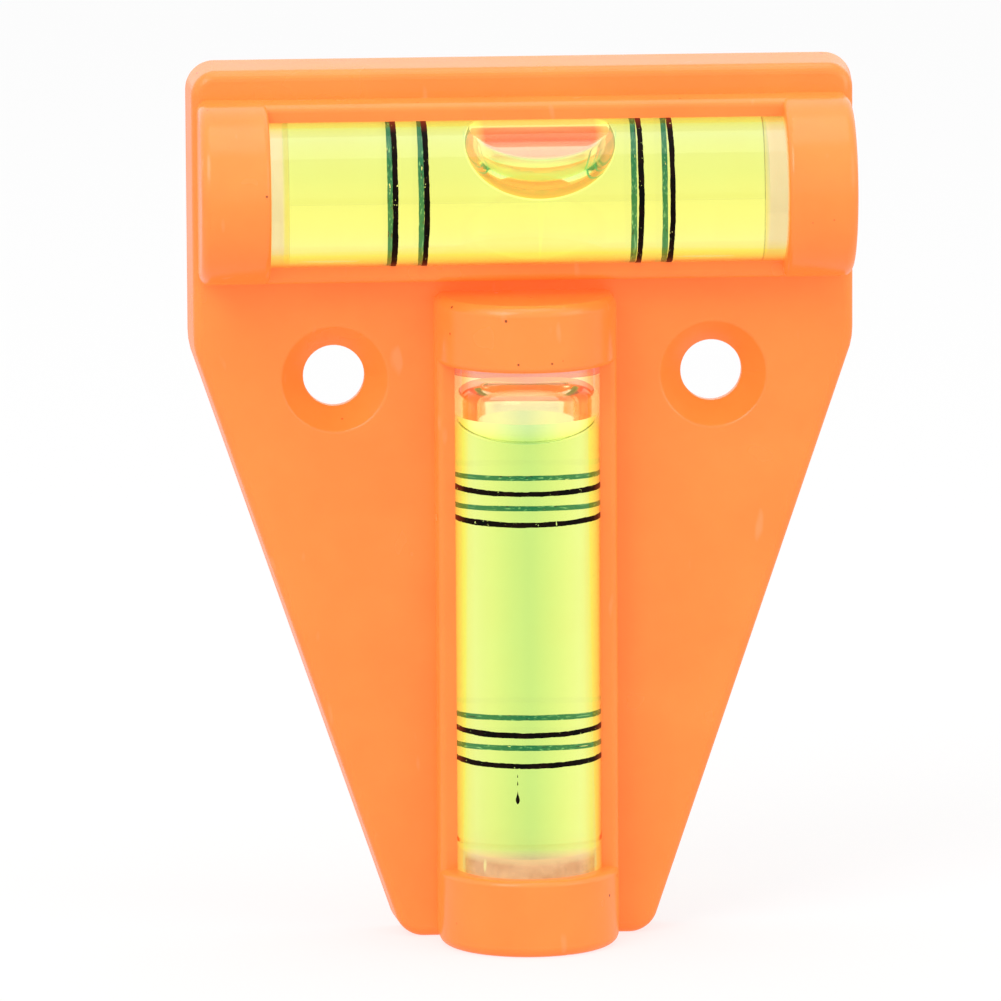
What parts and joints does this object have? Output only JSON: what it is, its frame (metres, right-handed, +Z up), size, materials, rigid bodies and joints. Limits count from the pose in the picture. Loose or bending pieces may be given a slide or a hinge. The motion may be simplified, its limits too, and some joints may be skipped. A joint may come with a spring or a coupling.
{
  "type": "t-shaped bubble level",
  "caption": "T-shaped bubble level: orange plate holding a clear cross vial and a clear stem vial, each with ring lines and a sliding air bubble; screw holes fix it to a wall, post or frame.",
  "frame": {"origin": "middle of the body's box at the bottom, on the surface that the foot stands on", "axes": "+Z up along the stem, -Y out of the front where the vials show, +X to the right seen from the front"},
  "size_m": [0.0454, 0.0122, 0.0602],
  "materials": {
    "orange_plastic": "satin moulded plastic",
    "clear_acrylic": "clear polished acrylic",
    "lime_liquid": "clear fluorescent yellow-green liquid",
    "air": "air in the liquid",
    "black_ink": "printed ink",
    "clear_glue": "clear set glue"
  },
  "bodies": {
    "level": {"body": "orange_plastic", "cross_vial_tube": "clear_acrylic", "cross_vial_plug": "clear_acrylic", "cross_liquid": "lime_liquid", "cross_ring_outer_left": "black_ink", "cross_ring_inner_left": "black_ink", "cross_ring_inner_right": "black_ink", "cross_ring_outer_right": "black_ink", "cross_glue_left": "clear_glue", "cross_glue_right": "clear_glue", "stem_vial_tube": "clear_acrylic", "stem_vial_plug": "clear_acrylic", "stem_liquid": "lime_liquid", "stem_ring_outer_top": "black_ink", "stem_ring_inner_top": "black_ink", "stem_ring_inner_bottom": "black_ink", "stem_ring_outer_bottom": "black_ink", "stem_glue_top": "clear_glue", "stem_glue_bottom": "clear_glue"},
    "cross_air": {"cross_bubble": "air"},
    "stem_air": {"stem_bubble": "air"}
  },
  "joints": [
    {"name": "cross_bubble_slide", "type": "slide", "parent": "level", "child": "cross_air", "axis": [1, 0, 0], "range_m": [-0.01175, 0.01025], "stiffness_N_per_m": 2, "deforming": ["cross_liquid"]},
    {"name": "stem_bubble_slide", "type": "slide", "parent": "level", "child": "stem_air", "axis": [0, 0, 1], "range_m": [-0.02825, 0], "stiffness_N_per_m": 5, "springref_m": 0.002, "deforming": ["stem_liquid"]}
  ]
}
